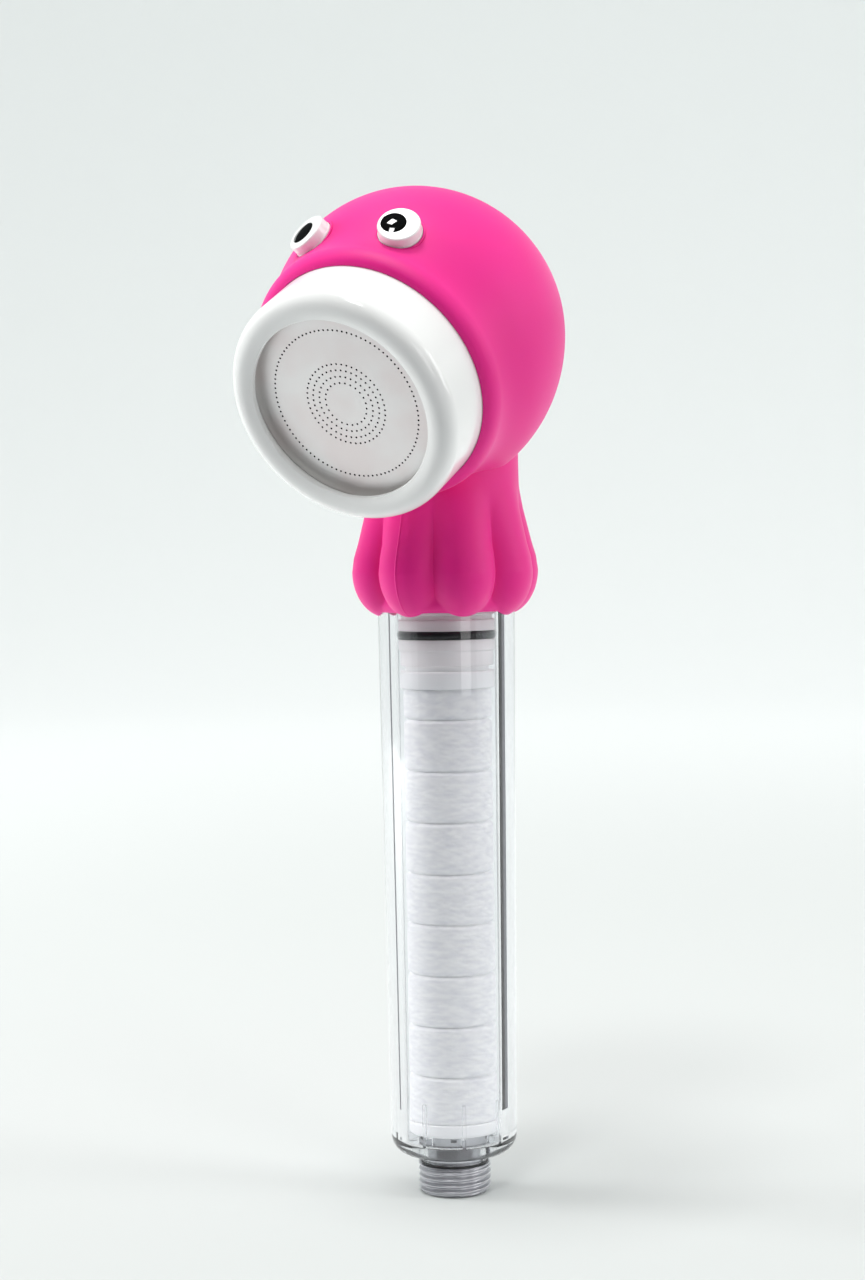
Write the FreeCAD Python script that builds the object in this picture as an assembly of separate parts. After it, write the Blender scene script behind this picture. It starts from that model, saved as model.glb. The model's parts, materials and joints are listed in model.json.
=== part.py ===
import FreeCAD, Part
import math
import os

# Hand shower with a filter handle: a silicone octopus cover on a round spray head.
# Millimetres. The origin is the centre of the hose inlet's end face, +Z runs up the
# handle, and the spray face looks to the front (-Y) and down.

V = FreeCAD.Vector

# --- Hose inlet, a G1/2 male thread ---
THREAD_R = 10.478
THREAD_ROOT_R = 9.316
THREAD_PITCH = 1.814
THREAD_TURNS = 4
CREST_LAND = 0.5
FIRST_CREST_Z = 0.45
INLET_TOP_Z = 8.4
INLET_BORE_R = 6.1
BARREL_R = 7.6
GASKET_T = 0.6
GASKET_R = 9.7
NUT_R = 10.3
NUT_H = 2.2

# --- Clear handle ---
BASE_Z = 11.6
FLOOR_Z = 15.5
HANDLE_TOP_Z = 176.0
HANDLE_R_LOW = 18.3
HANDLE_R_TOP = 19.75
BASE_CORNER_R = 5.2
BORE_R_LOW = 13.6
BORE_R_TOP = 14.45
RIB_COUNT = 8
RIB_TURN_DEG = -3.0
RIB_T = 0.9
RIB_DEPTH = 0.45
RIB_FOOT_DEPTH = 2.8
RIB_TOP_Z = 28.0

# --- Filter cartridge ---
FILTER_BASE_Z = 18.1
MEDIA_BASE_Z = 22.0
MEDIA_TOP_Z = 146.8
MEDIA_R = 12.85
MEDIA_BORE_R = 7.0
BAND_PITCH = 14.6
BAND_DEPTH = 0.35
CAP_TOP_Z = 151.8
CAP_R = 13.7
SPIGOT_R = 7.5
SPIGOT_BORE_R = 4.0
CORE_BORE_R = 5.2
CORE_PLUG_H = 3.0
FILTER_SEAL_R = 12.0
FILTER_SEAL_BORE_R = 8.2

# --- Adapter between the handle and the head ---
ADAPTER_BASE_Z = 153.2
ADAPTER_STEP_Z = 157.6
ADAPTER_TOP_Z = 187.0
ADAPTER_R = 13.9
ADAPTER_BORE_R = 8.0
SOCKET_R = 11.6
SOCKET_TOP_Z = 188.0
SEAL_Z = 162.0
SEAL_RING_R = 13.05
SEAL_WIRE_R = 1.25
RELIEF_Z = 166.2

# --- Head: its own axis runs out of the middle of the spray face ---
FACE_TILT = 28.5
BALL_CENTRE = V(0, -14.0, 246.2)
COVER_R = 41.8
COVER_T = 2.2
SHELL_T = 1.8
SHELL_GAP = 0.1
TAPER_START = 11.0
LIP_POS = 24.9
LIP_TUBE_R = 3.6
LIP_RING_R = 34.0
PLATE_POS = 41.7
PLATE_T = 0.8
PLATE_R = 29.6
PLATE_GAP = 0.1
PLATE_GASKET_BORE_R = 27.0
CUP_R = 30.9
CUP_WALL = 2.5
CUP_BACK = 20.0
CUP_FRONT = 39.4
RING_SEAL_POS = 31.0
SPREADER_POS = 34.5
AROMA_R = 12.5
AROMA_WALL = 1.2
AROMA_TOP = 32.5
DOME_FRONT = 21.5
LIP_INSIDE = 21.6
PIPE_DROP = 22.8
RING_R = 34.2
RING_BORE_R = 31.2
RING_BACK = 24.6
RING_FRONT = 46.7
RING_OPENING_R = 26.6
RING_GAP = 0.3
RIM_R = 3.5
RIM_INNER_R = 2.0
HOLE_R = 0.29
HOLE_CIRCLES = ((6.3, 24), (8.2, 32), (10.1, 40), (11.9, 48), (21.9, 96))

# --- Neck inside the tentacle skirt ---
NECK_BASE_Z = 176.3
SKIRT_CLEAR_Z = 160.0
NECK_R = 17.3
DRILL_LOW_Z = 190.0
NECK_WALL = 2.3
NECK_TOP_Z = 212.0
WATERWAY_R = 6.0
OUTLET_R = 2.5
PIPE_R = 8.5
ELBOW_Z = 228.0

# --- Skirt: tentacle circles as (height, distance from the handle axis, radius) ---
TENTACLES = 8
TENTACLE_TIP_Z = 176.4
TENTACLE_STATIONS = (
    (TENTACLE_TIP_Z, 18.1, 9.3),
    (182.0, 18.1, 9.3),
    (188.0, 16.5, 9.2),
    (197.5, 13.7, 9.4),
    (211.0, 9.9, 10.7),
    (226.0, 7.0, 11.8),
)

# --- Eyes: studs through the cover, on lines from the ball's centre ---
EYE_SPREAD = 19.2
EYE_RISE = 40.0
EYE_R = 5.9
EYE_TOP = 45.2
EYE_EDGE_R = 0.8
EYE_STEM_R = 3.0
EYE_STEM_END = 35.0
EYE_ROOM = 0.2
RETAINER_R = 6.0
RETAINER_T = 1.1
PUPIL_R = 3.55
PUPIL_RISE = 0.7
PUPIL_SEAT = 0.6
PUPIL_SHIFT = {"right": 1.5, "left": 0.9}


def profile(start, *steps):
    """A closed face of (radius, height) points in the XZ plane.

    A step is the next point, or a pair of points for an arc: one that it passes
    through, and its end.
    """
    at = V(start[0], 0, start[1])
    first = at
    edges = []
    for step in steps:
        if isinstance(step[0], tuple):
            through, end = (V(p[0], 0, p[1]) for p in step)
            edges.append(Part.Arc(at, through, end).toShape())
        else:
            end = V(step[0], 0, step[1])
            edges.append(Part.LineSegment(at, end).toShape())
        at = end
    edges.append(Part.LineSegment(at, first).toShape())
    return Part.Face(Part.Wire(edges))


def turned(start, *steps):
    """The profile turned about the Z axis into a solid."""
    return profile(start, *steps).revolve(V(0, 0, 0), V(0, 0, 1), 360)


def arc_point(centre, radius, degrees):
    """The (radius, height) point on a circle; 0 degrees points outward."""
    angle = math.radians(degrees)
    return (centre[0] + radius * math.cos(angle), centre[1] + radius * math.sin(angle))


def rod(radius, low, high, at=(0, 0)):
    """A cylinder parallel to Z between two heights."""
    return Part.makeCylinder(radius, high - low, V(at[0], at[1], low))


def tube(outer_r, inner_r, low, high):
    """A plain ring about the Z axis."""
    return rod(outer_r, low, high).cut(rod(inner_r, low - 1, high + 1))


def o_ring(ring_r, wire_r, height):
    """A round-section rubber ring about the Z axis."""
    return Part.makeTorus(ring_r, wire_r, V(0, 0, height))


def around(shape, count, start_deg=0.0):
    """Copies of a shape spaced evenly about the Z axis."""
    copies = []
    for i in range(count):
        one = shape.copy()
        one.rotate(V(0, 0, 0), V(0, 0, 1), start_deg + i * 360.0 / count)
        copies.append(one)
    return copies


def hole_circle(ring_r, count, hole_r, low, high, start_deg=0.0):
    """Drills for a circle of holes parallel to Z."""
    return around(rod(hole_r, low, high, (ring_r, 0)), count, start_deg)


def on_head(shape):
    """Moves a shape drawn about Z onto the face axis; height 0 is the ball's centre."""
    shape.rotate(V(0, 0, 0), V(1, 0, 0), 90 + FACE_TILT)
    shape.translate(BALL_CENTRE)
    return shape


def eye_line(side):
    """The outward direction of an eye's axis."""
    spread = math.radians(EYE_SPREAD if side == "right" else -EYE_SPREAD)
    rise = math.radians(EYE_RISE)
    return V(
        math.sin(spread),
        -math.cos(spread) * math.cos(rise),
        math.cos(spread) * math.sin(rise),
    )


def on_eye(shape, side, shift=0.0):
    """Moves a shape drawn about Z onto an eye's axis, shifted towards -X by shift."""
    out = eye_line(side)
    sideways = V(-1, 0, 0) - out * V(-1, 0, 0).dot(out)
    sideways.normalize()
    turn = FreeCAD.Rotation(V(0, 0, 1), out)
    shape.Placement = FreeCAD.Placement(BALL_CENTRE + sideways * shift, turn)
    return shape


# ---------------------------------------------------------------- handle


def handle_tube():
    """Thick clear tube with a rounded base, a boss for the inlet and centring ribs."""
    corner_centre = (HANDLE_R_LOW - BASE_CORNER_R, BASE_Z + BASE_CORNER_R)
    boss_z = INLET_TOP_Z + GASKET_T
    body = turned(
        (BARREL_R, boss_z),
        (GASKET_R - 0.6, boss_z),
        (GASKET_R, boss_z + 0.6),
        (GASKET_R, BASE_Z),
        (corner_centre[0], BASE_Z),
        (
            arc_point(corner_centre, BASE_CORNER_R, -45),
            arc_point(corner_centre, BASE_CORNER_R, 0),
        ),
        (HANDLE_R_TOP, HANDLE_TOP_Z),
        (BORE_R_TOP, HANDLE_TOP_Z),
        (BORE_R_LOW, FLOOR_Z),
        (BARREL_R, FLOOR_Z),
    )
    foot_h = FILTER_BASE_Z - 0.1 - FLOOR_Z
    foot_at = V(BORE_R_LOW - RIB_FOOT_DEPTH, -RIB_T / 2, FLOOR_Z)
    foot = Part.makeBox(4.0, RIB_T, foot_h, foot_at)
    fin_h = RIB_TOP_Z - FLOOR_Z
    fin_at = V(BORE_R_LOW - RIB_DEPTH, -RIB_T / 2, FLOOR_Z)
    fin = Part.makeBox(2.0, RIB_T, fin_h, fin_at)
    ribs = around(foot.fuse(fin), RIB_COUNT, RIB_TURN_DEG)
    return body.fuse(ribs).removeSplitter()


def inlet_fitting():
    """Metal hose nipple: thread crests with flat lands, and a barrel through the base."""
    steps = [(INLET_BORE_R, 0.0), (THREAD_R - 0.9, 0.0)]
    land_z = FIRST_CREST_Z
    for _turn in range(THREAD_TURNS):
        root_mid = land_z + (CREST_LAND + THREAD_PITCH) / 2
        steps += [
            (THREAD_R, land_z),
            (THREAD_R, land_z + CREST_LAND),
            (THREAD_ROOT_R, root_mid - 0.15),
            (THREAD_ROOT_R, root_mid + 0.15),
        ]
        land_z += THREAD_PITCH
    steps += [
        (THREAD_R, land_z),
        (THREAD_R, land_z + CREST_LAND),
        (THREAD_R - 0.3, INLET_TOP_Z),
        (BARREL_R, INLET_TOP_Z),
        (BARREL_R, FLOOR_Z + NUT_H),
        (INLET_BORE_R, FLOOR_Z + NUT_H),
    ]
    return turned(*steps)


def inlet_nut():
    """Castle nut that clamps the nipple's barrel inside the handle's floor."""
    nut = tube(NUT_R, BARREL_R, FLOOR_Z, FLOOR_Z + NUT_H)
    slot = Part.makeBox(3.0, 1.6, NUT_H, V(NUT_R - 1.8, -0.8, FLOOR_Z + NUT_H / 2))
    return nut.cut(around(slot, 6))


def inlet_screen():
    """Strainer disc pressed into the inlet's bore."""
    disc = rod(INLET_BORE_R, 3.0, 4.0)
    drills = []
    for ring_r, count in ((1.6, 6), (3.2, 12), (4.7, 18)):
        drills += hole_circle(ring_r, count, 0.45, 2.5, 4.5)
    return disc.cut(drills)


# ---------------------------------------------------------------- filter


def filter_media():
    """Pressed fibre sleeve, with a shallow pressed line at every band."""
    steps = [(MEDIA_BORE_R, MEDIA_BASE_Z), (MEDIA_R, MEDIA_BASE_Z)]
    line_z = MEDIA_TOP_Z - BAND_PITCH / 2
    lines = []
    while line_z > MEDIA_BASE_Z + 2:
        lines.append(line_z)
        line_z -= BAND_PITCH
    for line_z in reversed(lines):
        steps += [
            (MEDIA_R, line_z - 0.5),
            (MEDIA_R - BAND_DEPTH, line_z),
            (MEDIA_R, line_z + 0.5),
        ]
    steps += [(MEDIA_R, MEDIA_TOP_Z), (MEDIA_BORE_R, MEDIA_TOP_Z)]
    return turned(*steps)


def filter_core():
    """Perforated tube that the fibre sleeve is wound on."""
    core = tube(MEDIA_BORE_R, CORE_BORE_R, MEDIA_BASE_Z, MEDIA_TOP_Z)
    drills = []
    for level in range(8):
        z = MEDIA_BASE_Z + 10 + level * BAND_PITCH
        for quarter in range(2):
            across = Part.makeCylinder(1.5, 30, V(-15, 0, z), V(1, 0, 0))
            across.rotate(V(0, 0, z), V(0, 0, 1), 90 * quarter + 45 * (level % 2))
            drills.append(across)
    return core.cut(drills)


def filter_bottom_cap():
    """Closed plastic cap under the sleeve."""
    return turned(
        (0, FILTER_BASE_Z),
        (MEDIA_R - 1.2, FILTER_BASE_Z),
        (MEDIA_R + 0.1, FILTER_BASE_Z + 1.3),
        (MEDIA_R + 0.1, MEDIA_BASE_Z),
        (CORE_BORE_R, MEDIA_BASE_Z),
        (CORE_BORE_R, MEDIA_BASE_Z + CORE_PLUG_H),
        (0, MEDIA_BASE_Z + CORE_PLUG_H),
    )


def filter_top_cap():
    """Plastic cap with the outlet spigot that enters the adapter."""
    return turned(
        (SPIGOT_BORE_R, MEDIA_TOP_Z - CORE_PLUG_H),
        (CORE_BORE_R, MEDIA_TOP_Z - CORE_PLUG_H),
        (CORE_BORE_R, MEDIA_TOP_Z),
        (CAP_R - 0.4, MEDIA_TOP_Z),
        (CAP_R, MEDIA_TOP_Z + 0.4),
        (CAP_R, CAP_TOP_Z - 0.5),
        (CAP_R - 0.5, CAP_TOP_Z),
        (SPIGOT_R, CAP_TOP_Z),
        (SPIGOT_R, ADAPTER_STEP_Z),
        (SPIGOT_BORE_R, ADAPTER_STEP_Z),
    )


def filter_seal():
    """Flat rubber ring between the cartridge and the adapter."""
    return tube(FILTER_SEAL_R, FILTER_SEAL_BORE_R, CAP_TOP_Z, ADAPTER_BASE_Z - 0.1)


# ---------------------------------------------------------------- head


def handle_adapter():
    """Clear threaded plug that joins the handle's bore to the head's neck."""
    groove_low = SEAL_Z - SEAL_WIRE_R
    groove_high = SEAL_Z + SEAL_WIRE_R
    groove_r = SEAL_RING_R - SEAL_WIRE_R
    return turned(
        (ADAPTER_BORE_R, ADAPTER_BASE_Z),
        (ADAPTER_R - 0.9, ADAPTER_BASE_Z),
        (ADAPTER_R - 0.5, ADAPTER_BASE_Z + 0.4),
        (ADAPTER_R - 0.5, ADAPTER_STEP_Z),
        (ADAPTER_R, ADAPTER_STEP_Z + 0.5),
        (ADAPTER_R, groove_low),
        (groove_r, groove_low),
        (groove_r, groove_high),
        (ADAPTER_R, groove_high),
        (ADAPTER_R, RELIEF_Z),
        (ADAPTER_R - 0.8, RELIEF_Z + 0.4),
        (ADAPTER_R - 0.8, RELIEF_Z + 1.4),
        (ADAPTER_R, RELIEF_Z + 1.8),
        (ADAPTER_R, NECK_BASE_Z),
        (SOCKET_R, NECK_BASE_Z),
        (SOCKET_R, ADAPTER_TOP_Z),
        (ADAPTER_BORE_R, ADAPTER_TOP_Z),
    )


def water_pipe(radius, start_z):
    """The sloping pipe from the neck to the spray chamber, as a solid rod."""
    out = V(0, -math.cos(math.radians(FACE_TILT)), -math.sin(math.radians(FACE_TILT)))
    start = V(0, 0, start_z)
    run = CUP_BACK + 1.5 - out.dot(start - BALL_CENTRE)
    return Part.makeCylinder(radius, run, start, out)


def head_body():
    """White moulding: the neck socket, the water pipe and the open spray chamber."""
    neck = turned(
        (0, NECK_BASE_Z),
        (NECK_R, NECK_BASE_Z),
        (NECK_R, NECK_TOP_Z),
        (NECK_R - NECK_WALL, NECK_TOP_Z),
        (NECK_R - NECK_WALL, SOCKET_TOP_Z + 4),
        (PIPE_R, SOCKET_TOP_Z + 4),
        (PIPE_R, ELBOW_Z),
        (arc_point((0, ELBOW_Z), PIPE_R, 45), arc_point((0, ELBOW_Z), PIPE_R, 90)),
    )
    groove_r = CUP_R - 1.4
    cup = on_head(
        turned(
            (0, CUP_BACK),
            (CUP_R, CUP_BACK),
            (CUP_R, RING_SEAL_POS - 0.8),
            (groove_r, RING_SEAL_POS - 0.8),
            (groove_r, RING_SEAL_POS + 0.8),
            (CUP_R, RING_SEAL_POS + 0.8),
            (CUP_R, CUP_FRONT),
            (CUP_R - CUP_WALL, CUP_FRONT),
            (CUP_R - CUP_WALL, SPREADER_POS),
            (CUP_R - CUP_WALL - 1, SPREADER_POS),
            (CUP_R - CUP_WALL - 1, CUP_BACK + CUP_WALL),
            (0, CUP_BACK + CUP_WALL),
        )
    )
    body = neck.fuse([cup, water_pipe(PIPE_R - 0.3, ELBOW_Z)])
    waterway = rod(WATERWAY_R, SOCKET_TOP_Z - 1, ELBOW_Z)
    waterway = waterway.fuse([Part.makeSphere(WATERWAY_R, V(0, 0, ELBOW_Z))])
    long_pipe = water_pipe(WATERWAY_R, ELBOW_Z)
    out_end = on_head(rod(OUTLET_R, CUP_BACK - 1, CUP_BACK + CUP_WALL + 1, (0, -PIPE_DROP)))
    socket = rod(SOCKET_R, NECK_BASE_Z - 1, SOCKET_TOP_Z)
    return body.cut([waterway, long_pipe, out_end, socket])


def shell_outline(offset):
    """Points of the ball and its taper, moved inwards by offset, back pole first."""
    ball_r = COVER_R - offset
    start_angle = math.degrees(math.asin(TAPER_START / COVER_R))
    taper_from = arc_point((0, 0), ball_r, start_angle)
    pole = (0, -ball_r)
    middle = arc_point((0, 0), ball_r, -25)
    return pole, middle, taper_from, start_angle


def rear_dome():
    """White shell behind the silicone, from the back of the ball to the chamber."""
    offset = COVER_T + SHELL_GAP
    pole, middle, taper_from, angle = shell_outline(offset)
    inner_pole, inner_middle, inner_from, _same = shell_outline(offset + SHELL_T)
    run = DOME_FRONT - taper_from[1]
    front = (taper_from[0] - run * math.tan(math.radians(angle)), DOME_FRONT)
    inner_front = (front[0] - SHELL_T, DOME_FRONT - SHELL_T)
    dome = turned(
        pole,
        (middle, taper_from),
        front,
        (CUP_R, DOME_FRONT),
        (CUP_R, DOME_FRONT - SHELL_T),
        inner_front,
        inner_from,
        (inner_middle, inner_pole),
    )
    dome = on_head(dome)
    dome = dome.cut(rod(NECK_R, DRILL_LOW_Z, BALL_CENTRE.z - 20))
    seat = COVER_R - offset - 0.1
    cuts = []
    for side in PUPIL_SHIFT:
        cuts.append(on_eye(rod(EYE_STEM_R + EYE_ROOM, 30, EYE_TOP), side))
        cuts.append(on_eye(rod(EYE_R + EYE_ROOM, seat, EYE_TOP), side))
    return dome.cut(cuts)


def distributor():
    """Disc that spreads the water before the spray plate."""
    low, high = SPREADER_POS, SPREADER_POS + 1.5
    disc = rod(CUP_R - CUP_WALL, low, high)
    drills = hole_circle(20.0, 16, 1.6, low - 1, high + 1)
    drills += hole_circle(10.0, 8, 1.6, low - 1, high + 1)
    return on_head(disc.cut(drills))


def aroma_cup():
    """Open cup for the scent gel, standing on the chamber's back wall."""
    low = CUP_BACK + CUP_WALL
    cup = rod(AROMA_R, low, AROMA_TOP)
    room = rod(AROMA_R - AROMA_WALL, low + AROMA_WALL, AROMA_TOP + 1)
    return on_head(cup.cut(room))


def aroma_gel():
    """Block of scent gel that fills most of the cup."""
    low = CUP_BACK + CUP_WALL + AROMA_WALL
    return on_head(rod(AROMA_R - AROMA_WALL, low, AROMA_TOP - 1))


def aroma_lid():
    """Perforated lid over the scent gel."""
    lid = rod(AROMA_R, AROMA_TOP, AROMA_TOP + 1.1)
    drills = hole_circle(7.0, 10, 1.0, AROMA_TOP - 1, AROMA_TOP + 2)
    return on_head(lid.cut(drills))


def spray_plate():
    """Thin steel plate with circles of fine laser-cut holes."""
    drills = []
    for i, (ring_r, count) in enumerate(HOLE_CIRCLES):
        step = 360.0 / count
        low = PLATE_POS - PLATE_T - 0.5
        stagger = step / 2 * (i % 2)
        drills += hole_circle(ring_r, count, HOLE_R, low, PLATE_POS + 0.5, stagger)
    return on_head(rod(PLATE_R, PLATE_POS - PLATE_T, PLATE_POS).cut(drills))


def plate_gasket():
    """Flat rubber ring between the chamber's edge and the plate."""
    low, high = CUP_FRONT + 0.1, PLATE_POS - PLATE_T
    return on_head(tube(PLATE_R, PLATE_GASKET_BORE_R, low, high))


def face_ring():
    """Gloss white screw ring: it is the drum's side and the rounded rim in front."""
    outer_centre = (RING_R - RIM_R, RING_FRONT - RIM_R)
    inner_centre = (RING_OPENING_R + RIM_INNER_R, RING_FRONT - RIM_INNER_R)
    return on_head(
        turned(
            (RING_BORE_R, RING_BACK),
            (RING_R - 0.3, RING_BACK),
            (RING_R, RING_BACK + 0.3),
            (RING_R, outer_centre[1]),
            (arc_point(outer_centre, RIM_R, 45), arc_point(outer_centre, RIM_R, 90)),
            (inner_centre[0], RING_FRONT),
            (arc_point(inner_centre, RIM_INNER_R, 135), arc_point(inner_centre, RIM_INNER_R, 180)),
            (RING_OPENING_R, PLATE_POS + PLATE_GAP),
            (RING_BORE_R, PLATE_POS + PLATE_GAP),
        )
    )


def tentacle():
    """One tentacle of the skirt: a round lobe that ends in a half ball."""
    sections = []
    for height, distance, radius in TENTACLE_STATIONS:
        circle = Part.makeCircle(radius, V(0, -distance, height))
        sections.append(Part.Wire([circle]))
    lobe = Part.makeLoft(sections, True, False)
    tip_z, tip_distance, tip_r = TENTACLE_STATIONS[0]
    return lobe.fuse(Part.makeSphere(tip_r, V(0, -tip_distance, tip_z)))


def octopus_cover():
    """Silicone skin: a ball with a rolled lip round the drum, and the tentacle skirt."""
    pole, middle, taper_from, angle = shell_outline(0)
    lip_centre = (LIP_RING_R, LIP_POS)
    ball = on_head(
        turned(
            pole,
            (middle, taper_from),
            arc_point(lip_centre, LIP_TUBE_R, angle + 6),
            (arc_point(lip_centre, LIP_TUBE_R, 50), arc_point(lip_centre, LIP_TUBE_R, 95)),
            (0, LIP_POS + LIP_TUBE_R),
        )
    )
    core = Part.makeCone(19.0, 16.0, 42.0, V(0, 0, 170.0))
    outside = ball.fuse([core] + around(tentacle(), TENTACLES))
    pole, middle, taper_from, angle = shell_outline(COVER_T)
    run = LIP_INSIDE - taper_from[1]
    hollow = on_head(
        turned(
            pole,
            (middle, taper_from),
            (taper_from[0] - run * math.tan(math.radians(angle)), LIP_INSIDE),
            (RING_R + RING_GAP, LIP_INSIDE + 1),
            (RING_R + RING_GAP, RING_FRONT + 5),
            (0, RING_FRONT + 5),
        )
    )
    neck_room = rod(NECK_R, NECK_BASE_Z - 0.2, BALL_CENTRE.z)
    handle_room = rod(HANDLE_R_TOP + RING_GAP, SKIRT_CLEAR_Z, NECK_BASE_Z)
    eye_rooms = []
    for side in PUPIL_SHIFT:
        eye_rooms.append(on_eye(rod(EYE_R + EYE_ROOM, 38, EYE_TOP + 5), side))
    return outside.cut([hollow, neck_room, handle_room] + eye_rooms)


def eye(side):
    """White stud: a round head with a seat for the pupil, and a stem through the dome."""
    shell_r = COVER_R - COVER_T - SHELL_GAP
    edge_centre = (EYE_R - EYE_EDGE_R, EYE_TOP - EYE_EDGE_R)
    stud = turned(
        (0, EYE_STEM_END),
        (EYE_STEM_R, EYE_STEM_END),
        (EYE_STEM_R, shell_r + 0.1),
        (EYE_R, shell_r + 0.1),
        (EYE_R, edge_centre[1]),
        (arc_point(edge_centre, EYE_EDGE_R, 45), arc_point(edge_centre, EYE_EDGE_R, 90)),
        (0, EYE_TOP),
    )
    seat = on_eye(rod(PUPIL_R, EYE_TOP - PUPIL_SEAT, EYE_TOP + 1), side, PUPIL_SHIFT[side])
    return on_eye(stud, side).cut(seat)


def pupil(side):
    """Black domed disc set in the eye."""
    dome_r = (PUPIL_R**2 + PUPIL_RISE**2) / (2 * PUPIL_RISE)
    centre = (0, EYE_TOP + PUPIL_RISE - dome_r)
    edge = math.degrees(math.acos(PUPIL_R / dome_r))
    disc = turned(
        (0, EYE_TOP - PUPIL_SEAT),
        (PUPIL_R, EYE_TOP - PUPIL_SEAT),
        (PUPIL_R, EYE_TOP),
        (arc_point(centre, dome_r, (edge + 90) / 2), arc_point(centre, dome_r, 90)),
    )
    return on_eye(disc, side, PUPIL_SHIFT[side])


def eye_retainers():
    """Two push-on washers that hold the eye stems inside the dome."""
    top = COVER_R - COVER_T - SHELL_GAP - SHELL_T - 0.5
    washers = []
    for side in PUPIL_SHIFT:
        washers.append(on_eye(tube(RETAINER_R, EYE_STEM_R, top - RETAINER_T, top), side))
    return Part.makeCompound(washers)


PARTS = {
    "handle_tube": handle_tube,
    "inlet_fitting": inlet_fitting,
    "inlet_gasket": lambda: tube(GASKET_R, BARREL_R, INLET_TOP_Z, INLET_TOP_Z + GASKET_T),
    "inlet_nut": inlet_nut,
    "inlet_screen": inlet_screen,
    "filter_media": filter_media,
    "filter_core": filter_core,
    "filter_bottom_cap": filter_bottom_cap,
    "filter_top_cap": filter_top_cap,
    "filter_seal": filter_seal,
    "handle_adapter": handle_adapter,
    "adapter_oring": lambda: o_ring(SEAL_RING_R, SEAL_WIRE_R, SEAL_Z),
    "neck_washer": lambda: tube(SOCKET_R, ADAPTER_BORE_R, ADAPTER_TOP_Z, SOCKET_TOP_Z),
    "head_body": head_body,
    "rear_dome": rear_dome,
    "distributor": distributor,
    "aroma_cup": aroma_cup,
    "aroma_gel": aroma_gel,
    "aroma_lid": aroma_lid,
    "ring_oring": lambda: on_head(o_ring(CUP_R - 0.6, 0.8, RING_SEAL_POS)),
    "plate_gasket": plate_gasket,
    "spray_plate": spray_plate,
    "face_ring": face_ring,
    "octopus_cover": octopus_cover,
    "right_eye": lambda: eye("right"),
    "left_eye": lambda: eye("left"),
    "right_pupil": lambda: pupil("right"),
    "left_pupil": lambda: pupil("left"),
    "eye_retainers": eye_retainers,
}

os.makedirs("parts", exist_ok=True)
for name, make in PARTS.items():
    shape = make()
    if not shape.isValid():
        print("not valid:", name)
    print(f"{name:20s} {len(shape.Solids)} solid(s) {shape.Volume / 1000:8.2f} cm3")
    shape.exportStep(f"parts/{name}.step")
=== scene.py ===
import json
import math

import bmesh
import bpy
import numpy as np
from mathutils import Matrix, Vector


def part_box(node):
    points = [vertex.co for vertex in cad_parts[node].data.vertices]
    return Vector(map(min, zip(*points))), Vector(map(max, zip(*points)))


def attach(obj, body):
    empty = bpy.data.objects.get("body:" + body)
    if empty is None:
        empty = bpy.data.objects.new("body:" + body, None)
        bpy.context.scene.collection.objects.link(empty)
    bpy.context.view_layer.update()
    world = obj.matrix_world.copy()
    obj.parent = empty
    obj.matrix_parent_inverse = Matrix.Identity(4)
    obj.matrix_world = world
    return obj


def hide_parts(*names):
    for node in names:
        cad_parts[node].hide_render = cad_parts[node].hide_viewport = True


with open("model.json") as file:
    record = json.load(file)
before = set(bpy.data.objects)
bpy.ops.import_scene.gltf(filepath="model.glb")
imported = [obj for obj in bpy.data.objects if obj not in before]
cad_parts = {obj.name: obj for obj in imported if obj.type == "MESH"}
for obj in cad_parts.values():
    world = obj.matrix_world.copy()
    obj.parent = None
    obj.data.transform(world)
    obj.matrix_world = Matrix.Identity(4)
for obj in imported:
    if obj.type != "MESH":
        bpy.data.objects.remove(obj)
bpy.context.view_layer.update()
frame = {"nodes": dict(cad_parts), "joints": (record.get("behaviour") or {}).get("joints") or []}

# ---------------------------------------------------------------- camera
# A 70 mm portrait lens about 0.7 m from the handle, a little above the neck and
# looking slightly down, from the object's own front-right.

CAMERA_AZIMUTH = math.radians(31.0)
CAMERA_DISTANCE = 0.7153
CAMERA_HEIGHT = 0.1976
CAMERA_DOWN = math.radians(3.0)
CAMERA_PAN = math.radians(0.327)
CAMERA_ROLL = math.radians(-0.905)

camera = bpy.data.objects.new("camera", bpy.data.cameras.new("camera"))
camera.data.lens = 70.0
camera.data.sensor_width = 36.0
camera.data.clip_start = 0.01
aim = Matrix.Rotation(CAMERA_AZIMUTH + CAMERA_PAN, 4, "Z")
aim @= Matrix.Rotation(math.radians(90) - CAMERA_DOWN, 4, "X")
aim @= Matrix.Rotation(CAMERA_ROLL, 4, "Z")
camera_spot = Vector((math.sin(CAMERA_AZIMUTH), -math.cos(CAMERA_AZIMUTH), 0))
camera_spot *= CAMERA_DISTANCE
camera_spot.z = CAMERA_HEIGHT
camera.matrix_world = Matrix.Translation(camera_spot) @ aim
bpy.context.scene.collection.objects.link(camera)
bpy.context.scene.camera = camera
bpy.context.scene.view_settings.view_transform = "Standard"

# ---------------------------------------------------------------- studio
# A round paper sweep whose pale floor curves up into a wall on every side, with soft boxes
# overhead, in front and at the sides. Velvet cards that the camera doesn't see shade the
# front and give the clear tube its edge lines.

MM = 0.001


def linear(code, alpha=1.0):
    """An sRGB hex colour such as "F6F6F4", as linear red, green, blue and alpha."""
    out = []
    for i in (0, 2, 4):
        c = int(code[i : i + 2], 16) / 255
        out.append(c / 12.92 if c <= 0.04045 else ((c + 0.055) / 1.055) ** 2.4)
    return (*out, alpha)


def add(tree, kind, inputs=None, **settings):
    """Adds a node with its settings; an input is a value, or a socket to link from."""
    made = tree.nodes.new(kind)
    for key, value in settings.items():
        setattr(made, key, value)
    for key, value in (inputs or {}).items():
        if isinstance(value, bpy.types.NodeSocket):
            tree.links.new(value, made.inputs[key])
        else:
            made.inputs[key].default_value = value
    return made


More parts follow.
